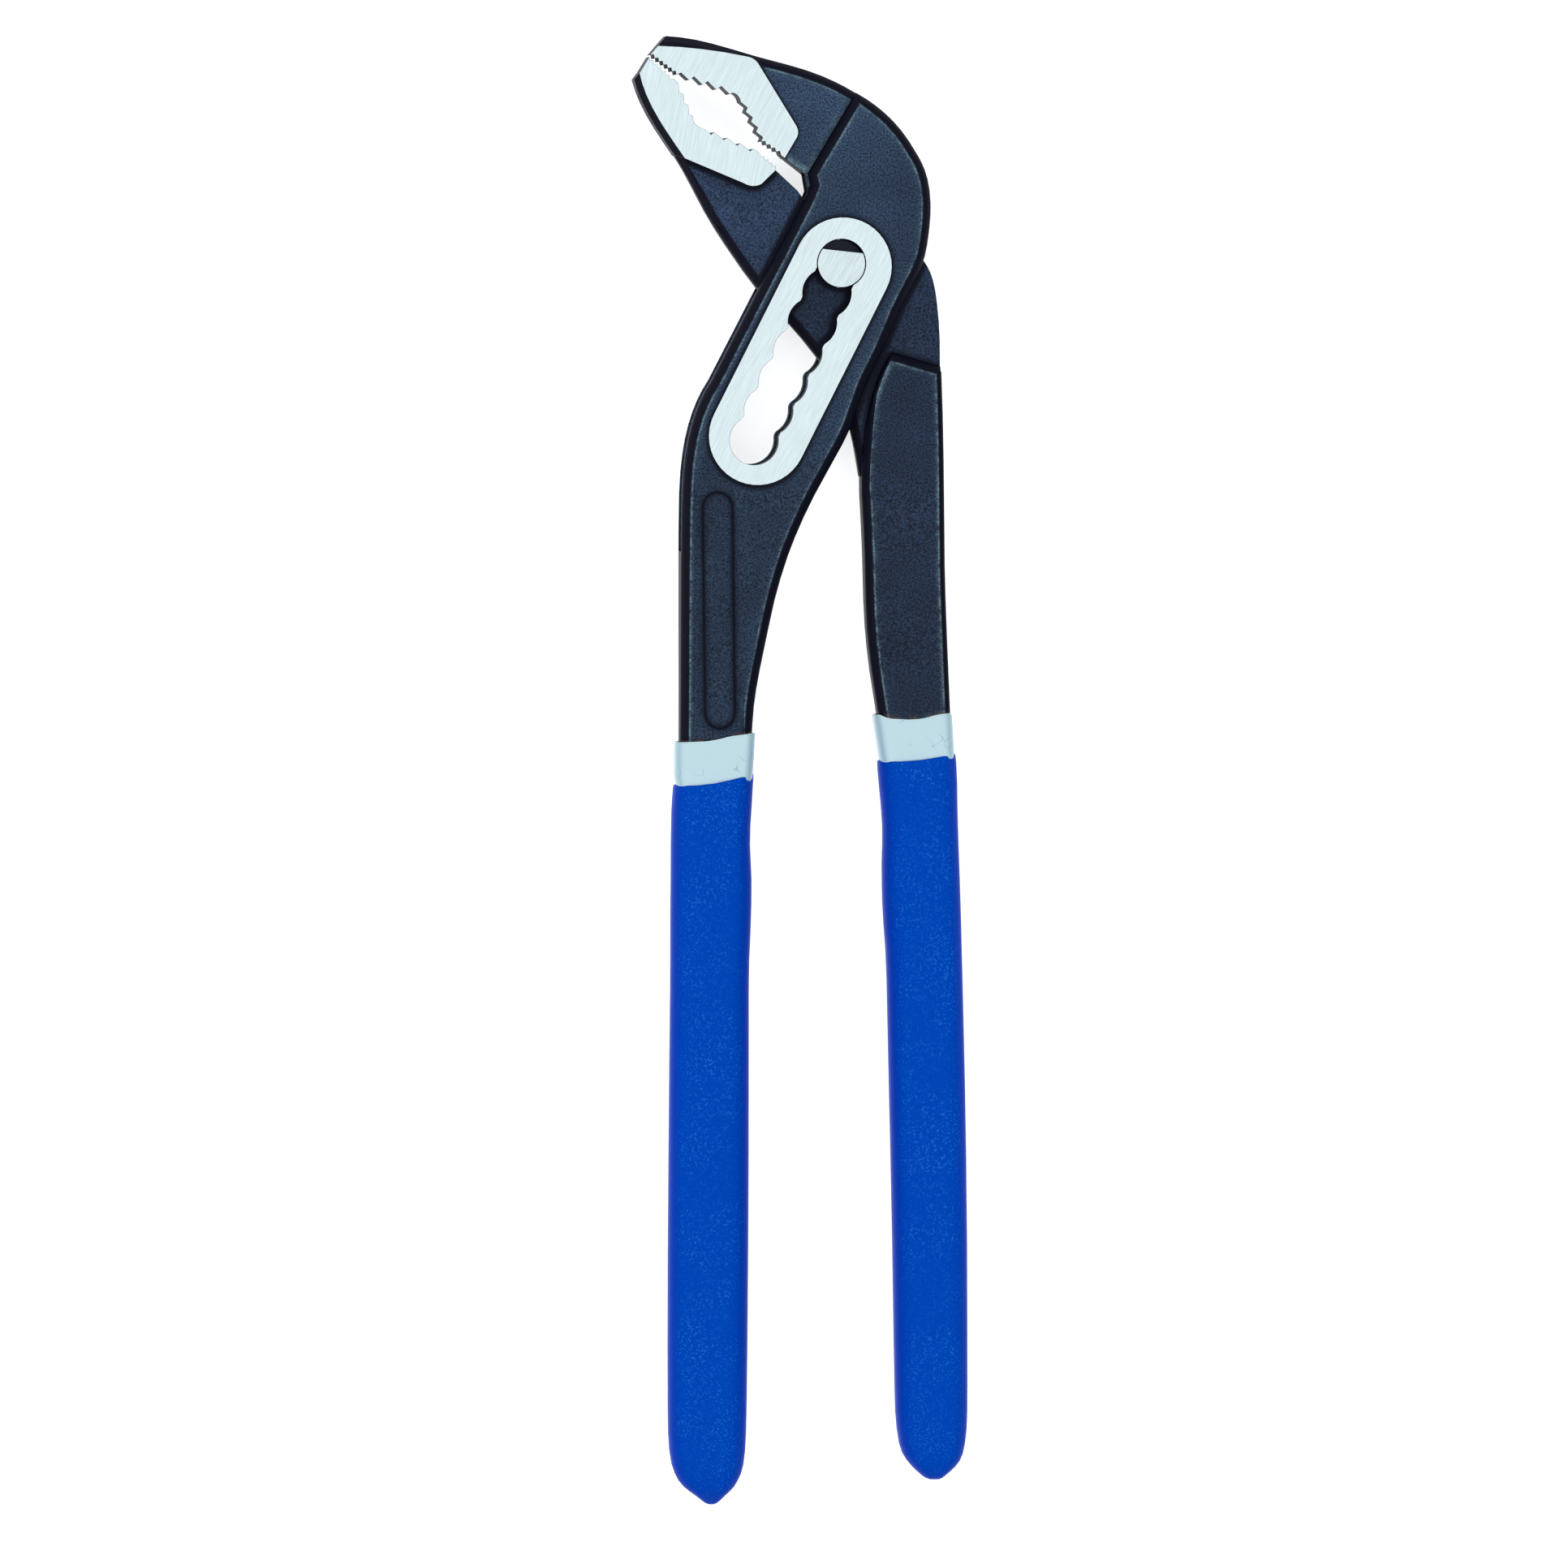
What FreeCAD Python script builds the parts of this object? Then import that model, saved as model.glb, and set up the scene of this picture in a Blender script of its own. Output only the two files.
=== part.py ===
import FreeCAD, Part
import math
import os

V = FreeCAD.Vector

# Tongue and groove (box-joint) pliers, lying flat, closed on the tips of the jaws.
# X runs across the handles, Y towards the jaws, Z through the thickness.
# The pin's axis is the Z axis, and the lower end of the pin lies on z = 0.

# ---- driving dimensions, in millimetres ----
LENGTH = 300.0         # jaw tip to grip tip; the whole plan grows with it
PIN_LENGTH = 14.0      # over the ends of the pin, and over the polished bosses
CHEEK_T = 13.2         # over both cheeks of the slotted lever
CAVITY_T = 6.8         # the box between the cheeks
TONGUE_T = 6.6         # the inner lever where it passes through the box
JAW_T = 10.5           # forged upper jaw
PAD_T = 11.0           # ground jaw ends
HANDLE_T = 9.8         # the inner lever's handle beside the cheeks
CORE_T = 8.4           # both handles from the grips down
PIN_R = 4.85
PIN_HOLE_R = 4.90
PIN_FLAT = 2.56        # from the pin's axis to the flat on its ends
PIN_FLAT_ANGLE = 83.7  # direction that the flat faces, degrees from +X
SCALLOP_R = 5.0        # one seat of the slot
CHANNEL = 4.1          # half the width of the way between seats
SEATS = 7
BOSS_R = 10.0          # polished rim around the slot
BEVEL = 1.3            # forged bevel along the steel edges
GREY_T = 0.7           # first dipped layer
BLUE_T = 0.7           # second dipped layer
PANEL_DEPTH = 0.45     # the long sunk panel on the slotted lever

K = LENGTH / 300.0
MID = PIN_LENGTH / 2.0
SLOT_END = (-17.85, -35.97)


def at(x, y, z=0.0):
    """A point of the plan, which grows with the length of the tool."""
    return V(x * K, y * K, z)


def face(start, *steps):
    """A closed plan shape. A step is a point (a straight run) or a list of points (a curve)."""
    edges, here = [], at(*start)
    for step in steps:
        run = step if isinstance(step, list) else [step]
        points = [here] + [at(*p) for p in run]
        if len(points) == 2:
            edges.append(Part.makeLine(points[0], points[1]))
        else:
            curve = Part.BSplineCurve()
            curve.interpolate(points)
            edges.append(curve.toShape())
        here = points[-1]
    if here.distanceToPoint(at(*start)) > 1e-6:
        edges.append(Part.makeLine(here, at(*start)))
    return Part.Face(Part.Wire(edges))


def plate(shape, thickness):
    """A plan shape made solid about the middle plane."""
    solid = shape.copy()
    solid.translate(V(0, 0, MID - thickness / 2.0))
    return solid.extrude(V(0, 0, thickness))


def along(a, b, t, side=0.0):
    """The point a share t of the way from a to b, moved sideways to the left of that way."""
    dx, dy = b[0] - a[0], b[1] - a[1]
    size = math.hypot(dx, dy)
    return (a[0] + dx * t - dy / size * side, a[1] + dy * t + dx / size * side)


def teeth(a, b, count, depth, lean=0.5):
    """Corners of saw teeth from a to b: tips on the line, valleys a depth to the left of it."""
    corners = []
    for i in range(count):
        corners.append(along(a, b, (i + lean) / count, depth))
        corners.append(along(a, b, (i + 1.0) / count))
    return corners


def rims(solid, shortest=0.0):
    """The edges between a solid's flat faces and its walls, if at least that long."""
    found = []
    for edge in solid.Edges:
        if edge.Length < shortest * K:
            continue
        middle = edge.valueAt((edge.FirstParameter + edge.LastParameter) / 2)
        slopes = []
        for side in solid.ancestorsOfType(edge, Part.Face):
            u, v = side.Surface.parameter(middle)
            slopes.append(abs(side.normalAt(u, v).z))
        if len(slopes) == 2 and max(slopes) > 0.9 and min(slopes) < 0.1:
            found.append(edge)
    return found


def stadium(a, b, radius):
    """A plan with two round ends at a and b, joined by straight sides."""
    start, end = at(*a), at(*b)
    way = (end - start).normalize()
    out = V(-way.y, way.x, 0) * radius
    return Part.Face(Part.Wire([
        Part.makeLine(start + out, end + out),
        Part.Arc(end + out, end + way * radius, end - out).toShape(),
        Part.makeLine(end - out, start - out),
        Part.Arc(start - out, start - way * radius, start + out).toShape(),
    ]))


def side_profile(run):
    """Everything within a thickness that changes along the tool. Each step is (y, half thickness)."""
    points = [V(-60 * K, y * K, MID + half) for y, half in run]
    points += [V(-60 * K, y * K, MID - half) for y, half in reversed(run)]
    return Part.Face(Part.makePolygon(points + points[:1])).extrude(V(120 * K, 0, 0))


def slotted_profile(inset=0.0):
    """The slotted lever thins from its cheeks to its grip."""
    steps = [(60, CHEEK_T), (-36, CHEEK_T), (-94, CORE_T), (-270, CORE_T)]
    return side_profile([(y, t / 2 - inset) for y, t in steps])


def inward(points, spine_a, spine_b, inset):
    """Grip outline points moved towards the grip's spine by an inset."""
    dx, dy = spine_b[0] - spine_a[0], spine_b[1] - spine_a[1]
    moved = []
    for x, y in points:
        t = ((x - spine_a[0]) * dx + (y - spine_a[1]) * dy) / (dx * dx + dy * dy)
        t = min(1.0, max(0.0, t))
        ox, oy = x - (spine_a[0] + t * dx), y - (spine_a[1] + t * dy)
        size = math.hypot(ox, oy)
        moved.append((x - ox / size * inset / K, y - oy / size * inset / K))
    return moved


# Outer surface of each grip, from its right side round the tip to its left side.
LEFT_SIDE = [(-17.5, -104.0), (-17.8, -115.0), (-18.3, -162.0), (-18.7, -229.0), (-18.9, -240.0),
             (-20.6, -248.6), (-26.7, -252.6), (-33.2, -248.6), (-34.9, -240.0),
             (-35.0, -229.0), (-34.7, -162.0), (-34.4, -118.0), (-33.9, -106.2)]
LEFT_SPINE = ((-25.7, -104.0), (-26.9, -243.0))
RIGHT_SIDE = [(23.9, -100.2), (24.5, -109.0), (25.9, -155.0), (26.5, -224.0), (26.3, -236.0),
              (24.6, -244.8), (19.6, -248.2), (13.9, -244.8), (11.8, -236.0),
              (11.3, -224.0), (10.3, -155.0), (8.6, -112.0), (8.0, -101.4)]
RIGHT_SPINE = ((15.9, -101.0), (19.2, -239.0))


# ---- the slotted lever: upper jaw, two cheeks around the box, and a handle ----
TIP_TOP, TIP_MEET = (-35.6, 46.2), (-38.9, 42.3)
upper_jaw = face(
    TIP_TOP,
    [(-28.7, 45.3), (-17.1, 42.1), (-6.9, 39.3), (-0.7, 36.8), (3.3, 34.6), (8.2, 31.3)],
    (11.0, 24.0), (2.0, 12.0), (-7.4, 12.8), (-6.7, 14.6), (-7.3, 18.1), (-12.3, 22.0),
    *teeth((-12.3, 22.0), (-16.3, 24.7), 4, -0.6),
    *teeth((-16.3, 24.7), (-20.5, 32.8), 4, -0.75, 0.27),
    [(-21.2, 34.2), (-22.0, 34.6), (-22.7, 34.3)],
    *teeth((-22.7, 34.3), (-31.0, 37.2), 3, -1.05, 0.74),
    (-32.6, 38.7), (-33.6, 38.3),
    *teeth((-33.6, 38.3), TIP_MEET, 6, -0.55))
upper_pad = face((-38.9, 42.3), (-37.3, 44.2),
                 [(-28.7, 43.6), (-18.9, 42.0)],
                 [(-17.7, 41.5), (-16.7, 40.4)], (-9.2, 28.2),
                 [(-8.7, 26.8), (-9.0, 25.5)], (-11.4, 21.4),
                 (-20.0, 18.0), (-45.0, 36.0))

left_core = inward(LEFT_SIDE[1:-1], *LEFT_SPINE, GREY_T + BLUE_T)
frame_plan = face(
    (3.1, 34.72),
    [(8.2, 31.3), (12.2, 27.3), (15.3, 22.8), (17.1, 19.3), (18.2, 14.8), (18.4, 11.3),
     (18.0, 5.9), (17.0, 0.8), (12.5, -8.5), (8.7, -17.4), (5.0, -25.0), (2.0, -33.4),
     (-1.3, -39.9), (-5.7, -48.0), (-10.3, -58.5), (-13.5, -69.1), (-15.6, -79.1),
     (-17.4, -89.1), (-18.0, -97.0)] + left_core[:3],
    left_core[3:9],
    left_core[9:] + [(-32.7, -100.0), (-32.6, -76.5), (-32.5, -52.5), (-31.8, -39.5),
                     (-29.9, -31.0), (-26.4, -23.8)],
    (-7.6, 12.6), (-6.2, 15.9), (-6.7, 18.3))
cheeks = plate(frame_plan, CHEEK_T).common(slotted_profile())
cheeks = cheeks.makeChamfer(BEVEL, rims(cheeks))
boss = plate(stadium((0.3, -0.6), (-17.1, -35.1), BOSS_R), PIN_LENGTH)
jaw = plate(upper_jaw, JAW_T)
jaw = jaw.makeChamfer(BEVEL, rims(jaw, 30))
slotted = cheeks.fuse([jaw, plate(upper_pad.common(upper_jaw), PAD_T), boss])

# the box between the cheeks, open to both sides
box = plate(face((-60, -20), (-32.3, -59.0), (-25.0, -56.6), (-22.6, -55.9), (-18.4, -63.2),
                 (-15.9, -70.0), (-14.4, -75.5), (40.0, -75.5), (40, 4), (-60, 4)), CAVITY_T)
crown = Part.makeCylinder(22.3 * K, CAVITY_T, at(3.0, -1.1) + V(0, 0, MID - CAVITY_T / 2))
throat = plate(face((-30, 3), (3, -1), (3, 14), (-8.0, 17.6), (-30, 17.6)), CAVITY_T)
slotted = slotted.cut([box, crown, throat])

# the stepped slot through both cheeks, with a round seat for each jaw opening
side = CHANNEL / K
slot = plate(face(along((0, 0), SLOT_END, 0, side), along((0, 0), SLOT_END, 1, side),
                  along((0, 0), SLOT_END, 1, -side), along((0, 0), SLOT_END, 0, -side)),
             PIN_LENGTH + 2)
seats = []
for i in range(SEATS):
    x, y = along((0, 0), SLOT_END, i / (SEATS - 1.0))
    seats.append(Part.makeCylinder(SCALLOP_R, PIN_LENGTH + 2, at(x, y, -1)))
slotted = slotted.cut(slot.fuse(seats))

# a long panel sunk into both faces of the handle
panel = plate(stadium((-25.2, -49.6), (-24.6, -91.6), 3.15 * K), CHEEK_T + 2)
slotted = slotted.cut(panel.cut(slotted_profile(PANEL_DEPTH))).removeSplitter()

# ---- the inner lever: lower jaw, flat tongue through the box, and a handle ----
lower_teeth = [
    *teeth((-13.3, 19.8), (-16.4, 22.4), 4, 0.5), (-17.9, 23.3),
    *teeth((-17.9, 23.3), (-25.9, 26.7), 3, 0.7, 0.13), (-26.5, 26.1),
    [(-27.6, 27.1), (-28.9, 27.7), (-29.9, 28.6), (-30.1, 29.9)],
    *teeth((-30.1, 29.9), (-33.1, 36.5), 3, 0.6, 0.3), (-34.1, 37.5),
    *teeth((-34.1, 37.5), (-39.0, 42.0), 6, 0.55)]
tongue_plan = face(
    (-13.3, 19.8), *lower_teeth, (-40.9, 38.9), (-42.1, 37.4),
    [(-37.1, 26.8), (-32.9, 20.6), (-27.4, 10.4), (-22.0, 1.9), (-17.1, -4.8), (-11.0, -11.5),
     (-5.0, -18.6), (-0.3, -26.0), (2.2, -33.5), (3.1, -37.6), (4.1, -43.5)],
    (12.0, -40.0), (17.0, -28.0), (20.45, -21.0),
    [(20.3, -13.0), (19.8, -7.7), (18.8, -2.7), (17.0, 0.7)],
    [(14.2, 6.2), (9.0, 12.4), (3.0, 15.1), (-2.5, 15.0), (-7.4, 13.0)],
    (-8.7, 14.8), (-13.2, 19.0))
jaw_plan = face(
    (-13.3, 19.8), *lower_teeth, (-40.9, 38.9), (-42.1, 37.4),
    [(-37.1, 26.8), (-32.9, 20.6), (-27.4, 10.4)], (-13.0, 12.0))
below_jaw = face(
    (-50.0, 21.9), (-33.4, 21.9), [(-32.8, 21.65), (-31.8, 21.3)], (-19.9, 16.3),
    [(-18.0, 15.7), (-16.2, 16.1)], (-13.2, 19.0), (-5.0, 19.0), (-5.0, 0.0), (-50.0, 0.0))
right_core = inward(RIGHT_SIDE[1:-1], *RIGHT_SPINE, GREY_T + BLUE_T)
shank_plan = face(
    (10.6, -18.1), (20.5, -21.0),
    [(20.8, -29.3), (21.1, -45.9), (21.3, -62.5), (21.9, -79.1), (22.5, -93.0)] + right_core[:3],
    right_core[3:9],
    right_core[9:] + [(8.0, -93.0), (6.6, -84.1), (5.5, -74.1), (5.1, -64.2), (4.8, -54.2),
                      (4.4, -46.0), (4.6, -39.5), (5.1, -33.2)],
    [(6.3, -27.9), (8.35, -22.0), (10.6, -18.1)])

tongue = plate(tongue_plan, TONGUE_T)
tongue = tongue.makeChamfer(BEVEL, [e for e in rims(tongue, 16) if e.Length > 60 * K])
lower_jaw = plate(jaw_plan, PAD_T)
lower_jaw = lower_jaw.makeChamfer(BEVEL, rims(lower_jaw, 25)).cut(plate(below_jaw, PAD_T + 2))
half, core = HANDLE_T / 2, CORE_T / 2
shank = plate(shank_plan, HANDLE_T).common(
    side_profile([(60, half), (-40, half), (-90, core), (-270, core)]))
beside_cheek = [e for e in rims(shank, 12) if e.BoundBox.YMin > -50 * K]
shank = shank.makeChamfer(0.4 * BEVEL, beside_cheek)
shank = shank.makeChamfer(BEVEL, rims(shank, 1.0))
inner = tongue.fuse([lower_jaw, shank])
inner = inner.cut(Part.makeCylinder(PIN_HOLE_R, PIN_LENGTH, V(0, 0, 0))).removeSplitter()

# ---- the pivot pin: round through the inner lever, flattened where it sits in the slot ----
pin = Part.makeCylinder(PIN_R, PIN_LENGTH)
flat = Part.makeBox(PIN_R, 4 * PIN_R, PIN_LENGTH, V(PIN_FLAT, -2 * PIN_R, 0))
flat.rotate(V(0, 0, 0), V(0, 0, 1), PIN_FLAT_ANGLE)
flat = flat.cut(Part.makeCylinder(2 * PIN_R, TONGUE_T, V(0, 0, MID - TONGUE_T / 2)))
pin = pin.cut(flat)


# ---- the dipped grips: a first grey layer, and a blue one over all but its collar ----
def dipped(outline, spine, collar, inset, thickness, edge_r):
    """One layer's outer form, from a collar line (right point, left point) to the tip."""
    run = inward(outline[1:-1] if collar else outline, *spine, inset)
    if collar:
        run = [collar[0]] + run + [collar[1]]
    form = plate(face(run[0], run[1:4], run[4:10], run[10:]), thickness)
    return form.makeFillet(edge_r, [e for e in rims(form) if e.Length > 20 * K])


grips = {}
for name, outline, spine, collar, lever, nib in (
        ("left", LEFT_SIDE, LEFT_SPINE, ((-17.3, -95.5), (-33.1, -97.4)), slotted,
         Part.makeCone(2.6, 1.0, 3.8, at(-26.6, -253.8) + V(0, 3.8, MID), V(0, -1, 0))),
        ("right", RIGHT_SIDE, RIGHT_SPINE, ((23.1, -91.9), (7.0, -92.5)), inner,
         Part.makeCone(2.4, 1.5, 3.0, at(19.7, -248.9) + V(0, 3.0, MID), V(0, -1, 0)))):
    first = dipped(outline, spine, collar, BLUE_T, CORE_T + 2 * GREY_T, 2.4)
    second = dipped(outline, spine, None, 0.0, CORE_T + 2 * (GREY_T + BLUE_T), 3.0)
    grips[name + "_grip_grey"] = first.cut(lever)
    grips[name + "_grip_blue"] = second.fuse(nib).cut(first).removeSplitter()

parts = {"slotted_lever": slotted, "inner_lever": inner, "pivot_pin": pin}
parts.update(grips)
os.makedirs("parts", exist_ok=True)
for name, shape in parts.items():
    print(name, shape.isValid(), len(shape.Solids), round(shape.Volume, 1), shape.BoundBox)
    shape.exportStep("parts/" + name + ".step")
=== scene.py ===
# %% [markdown]
# # Tongue and groove pliers
# The CAD model gives two forged levers, the pin they turn on, and two coats of dip on each
# handle. Its sizes and its joints stay as they are. This lesson finishes it: the forged edges
# are softened, the steel gets its black and its ground finishes, and the four coats of dip are
# modelled again as the soft, rounded skins that they are.

# %% Load the model
import math

import bmesh
import bpy
from mathutils import Matrix, Vector


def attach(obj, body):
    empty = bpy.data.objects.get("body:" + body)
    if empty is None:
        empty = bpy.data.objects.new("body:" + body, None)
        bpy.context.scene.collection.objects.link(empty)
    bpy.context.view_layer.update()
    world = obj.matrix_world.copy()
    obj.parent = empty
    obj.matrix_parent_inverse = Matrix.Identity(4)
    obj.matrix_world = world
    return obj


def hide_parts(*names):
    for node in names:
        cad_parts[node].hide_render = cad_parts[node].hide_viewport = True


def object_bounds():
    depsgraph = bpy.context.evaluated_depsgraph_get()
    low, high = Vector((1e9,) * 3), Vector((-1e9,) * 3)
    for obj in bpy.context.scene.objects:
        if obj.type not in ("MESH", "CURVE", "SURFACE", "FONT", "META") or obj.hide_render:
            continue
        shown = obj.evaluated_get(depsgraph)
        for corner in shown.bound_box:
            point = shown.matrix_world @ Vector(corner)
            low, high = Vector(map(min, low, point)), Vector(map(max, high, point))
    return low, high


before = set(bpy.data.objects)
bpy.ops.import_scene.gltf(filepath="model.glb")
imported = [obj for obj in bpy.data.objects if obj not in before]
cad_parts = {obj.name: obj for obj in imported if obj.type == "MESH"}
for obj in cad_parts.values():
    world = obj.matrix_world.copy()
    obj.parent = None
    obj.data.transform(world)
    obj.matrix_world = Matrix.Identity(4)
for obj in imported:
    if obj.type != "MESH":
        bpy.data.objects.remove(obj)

MM = 0.001
cad_box = [list(corner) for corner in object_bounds()]
MID = 0.5 * (cad_box[0][2] + cad_box[1][2])
print("CAD box in mm:", [[round(v / MM, 2) for v in c] for c in cad_box])
print("middle of the thickness in mm:", round(MID / MM, 3))

# %% [markdown]
# ## The table, the light and the camera
# Tools are laid flat on a pale table and seen from almost straight above, so their outline can be
# read like a drawing. A long lens from far off keeps that outline true. Nearly all the light comes
# from one large soft lamp overhead and a little to the left, and a small one far to the left adds
# a trace. Flat ground steel mirrors the large lamp and looks almost white, and the sloping edges
# mirror the darker room and are painted dark as well, so that they look almost black.

# %% A pale floor just under the pliers
bpy.ops.object.select_all(action="DESELECT")
TABLE_SIZE = 6.0
BELOW_PLIERS = 0.2 * MM
bpy.ops.mesh.primitive_plane_add(size=TABLE_SIZE, location=(0, 0, -BELOW_PLIERS))
floor = bpy.context.object
floor.name = "table_top"
print("table width in m:", TABLE_SIZE)

# %% Colours from hex, and one way to add a node


def linear(code):
    """An sRGB hex colour as the linear colour that a shader wants."""
    parts = [int(code[i : i + 2], 16) / 255 for i in (1, 3, 5)]
    return (
        *[c / 12.92 if c <= 0.04045 else ((c + 0.055) / 1.055) ** 2.4 for c in parts],
        1.0,
    )


def add(tree, kind, inputs=(), **settings):
    """A node of that kind, with its settings, and a value or a link for each input."""
    made = tree.nodes.new(kind)
    for key, value in settings.items():
        setattr(made, key, value)
    for key, value in dict(inputs).items():
        if isinstance(value, bpy.types.NodeSocket):
            tree.links.new(value, made.inputs[key])
        else:
            made.inputs[key].default_value = value
    return made


def new_finish(name, **shader):
    """A material, its node tree, its shader and the Object coordinates."""
    material = bpy.data.materials.new(name)
    material.use_nodes = True
    tree = material.node_tree
    principled = tree.nodes["Principled BSDF"]
    for key, value in shader.items():
        principled.inputs[key.replace("_", " ")].default_value = value
    place = add(tree, "ShaderNodeTexCoord")
    return material, tree, principled, place


print("white as a linear colour:", linear("#FFFFFF"))


# %% Painted table: a matt white board
table_finish, tree, board, place = new_finish("matt_white_board", Roughness=0.9)
board.inputs["Base Color"].default_value = linear("#F4F5F6")
board.inputs["Specular IOR Level"].default_value = 0.1
board.inputs["Emission Color"].default_value = linear("#FFFFFF")
board.inputs["Emission Strength"].default_value = 0.70
floor.data.materials.append(table_finish)
print(table_finish.name, "nodes:", len(tree.nodes))

# %% Soft light from above
world = bpy.data.worlds.new("pale_room")
bpy.context.scene.world = world
world.use_nodes = True
room = world.node_tree.nodes["Background"]
room.inputs["Color"].default_value = linear("#EEF3F6")
room.inputs["Strength"].default_value = 0.42


def lamp(name, place, aim, width, watts):
    """A square soft lamp at a place, facing a point."""
    bpy.ops.object.light_add(type="AREA", location=place)
    made = bpy.context.object
    made.name = name
    made.data.shape = "SQUARE"
    made.data.size = width
    made.data.energy = watts
    made.rotation_euler = (
        (Vector(place) - Vector(aim)).to_track_quat("Z", "Y").to_euler()
    )
    print(name, "in W:", watts, "width in m:", width)


centre = Vector(((cad_box[0][0] + cad_box[1][0]) / 2, (cad_box[0][1] + cad_box[1][1]) / 2, MID))
lamp("overhead_softbox", centre + Vector((-0.20, 0.10, 1.40)), centre, 3.2, 27.5)
lamp("left_window", centre + Vector((-2.60, 1.20, 1.30)), centre, 0.9, 5)

# %% Camera: a long lens, almost straight down
VIEW_WIDTH = 320.3 * MM
DISTANCE = 2.5
LEAN_LEFT = math.radians(4.4)
LEAN_UP = math.radians(2.5)
aim = Vector((-11.2, -106.25, 7.0)) * MM
sight = Vector((-math.tan(LEAN_LEFT), math.tan(LEAN_UP), 1)).normalized()
bpy.ops.object.camera_add(location=aim + DISTANCE * sight)
camera = bpy.context.object
camera.name = "camera_above"
across = Vector((0, 1, 0)).cross(sight).normalized()
upright = sight.cross(across)
camera.rotation_euler = Matrix((across, upright, sight)).transposed().to_euler()
camera.data.lens = camera.data.sensor_width * DISTANCE / VIEW_WIDTH
camera.data.clip_end = 20
bpy.context.scene.camera = camera
bpy.context.scene.view_settings.view_transform = "Standard"
print("lens in mm:", round(camera.data.lens, 1))

# %% [markdown]
# ## Softened edges on the forgings
# A drop forging is never sharp: the die wears, and tumbling rounds what is left. A CAD node's
# own mesh is left alone, so each lever and the pin is copied, and the copy's loose triangles are
# merged and its flat faces joined. Then every edge gets a bevel weight. The long slopes round the
# forging get a wide round at the top and half of it at the bottom, and the teeth, the low ground
# pads and the holes a very small one, because a wide one would eat a step of a quarter of a
# millimetre.

# %% Copy a node, weigh its edges, and round them
WIDE, FINE = 0.90 * MM, 0.09 * MM
MERGE = 0.02 * MM
SAME_PLANE = math.radians(0.2)
SHARPEST_SMOOTH = math.radians(30)


def tops_a_slope(edge):
    """True for the upper edge of a long slope. Beside the cheeks the inner lever's slope is too
    narrow for a full round, so its edges there, all lower than 5 mm, don't count."""
    slopes = [face for face in edge.link_faces if abs(face.normal.z) < 0.9]
    beside_cheek = all(v.co.y > -50 * MM and 3 * MM < v.co.x < 20 * MM for v in edge.verts)
    return len(slopes) == 1 and not (beside_cheek and abs(edge.verts[0].co.z - MID) < 5 * MM)


def soften(node, name, body, wide):
    """A merged copy of a CAD node with rounded edges. wide(edge) picks the wide ones."""
    bpy.ops.object.select_all(action="DESELECT")
    made = node.copy()
    made.data = node.data.copy()
    made.parent = None
    made.name = made.data.name = name
    bpy.context.collection.objects.link(made)
    bpy.context.view_layer.objects.active = made
    made.select_set(True)
    bpy.ops.object.mode_set(mode="EDIT")
    bpy.ops.mesh.select_all(action="SELECT")
    bpy.ops.mesh.remove_doubles(threshold=MERGE)
    bpy.ops.mesh.dissolve_limited(angle_limit=SAME_PLANE)
    bpy.ops.mesh.select_mode(type="EDGE")
    # Each pass is (least turn, most turn in degrees, weight, which edges), and a later one wins.
    for low, high, weight, wanted in (
        (24, 180, FINE / WIDE, lambda edge: True),
        (28, 62, 0.5, wide),
        (28, 62, 1.0, lambda edge: wide(edge) and tops_a_slope(edge)),
    ):
        bpy.ops.mesh.select_all(action="DESELECT")
        shape = bmesh.from_edit_mesh(made.data)
        for edge in shape.edges:
            turn = math.degrees(edge.calc_face_angle(0))
            edge.select = low < turn < high and wanted(edge)
        bmesh.update_edit_mesh(made.data)
        bpy.ops.transform.edge_bevelweight(value=-1)
        bpy.ops.transform.edge_bevelweight(value=weight)
    bpy.ops.mesh.select_mode(type="VERT")
    bpy.ops.object.mode_set(mode="OBJECT")
    edge = made.modifiers.new("round_edges", "BEVEL")
    edge.width = WIDE
    edge.segments = 4
    edge.limit_method = "WEIGHT"
    edge.use_clamp_overlap = False
    bpy.ops.object.modifier_apply(modifier="round_edges")
    bpy.ops.object.shade_smooth_by_angle(angle=SHARPEST_SMOOTH)
    level = made.modifiers.new("flat_faces_stay_flat", "WEIGHTED_NORMAL")
    level.mode = "FACE_AREA"
    level.weight = 100
    level.keep_sharp = True
    bpy.ops.object.modifier_apply(modifier="flat_faces_stay_flat")
    print(name, "faces:", len(made.data.polygons))
    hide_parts(node.name)
    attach(made, body)
    return made


def long_slope(edge):
    """True for an edge of a lever's long outer slopes, away from the ground pads."""
    by_a_pad = any(v.co.y > 17 * MM and v.co.x < -18 * MM for v in edge.verts)
    return edge.is_convex and not by_a_pad


slotted = soften(
    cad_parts["slotted_lever"], "slotted_lever_forged", "slotted",
    long_slope,
)
inner = soften(
    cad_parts["inner_lever"], "inner_lever_forged", "inner",
    long_slope,
)
pin = soften(
    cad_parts["pivot_pin"], "pivot_pin_ground", "pivot", lambda edge: False
)
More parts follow.
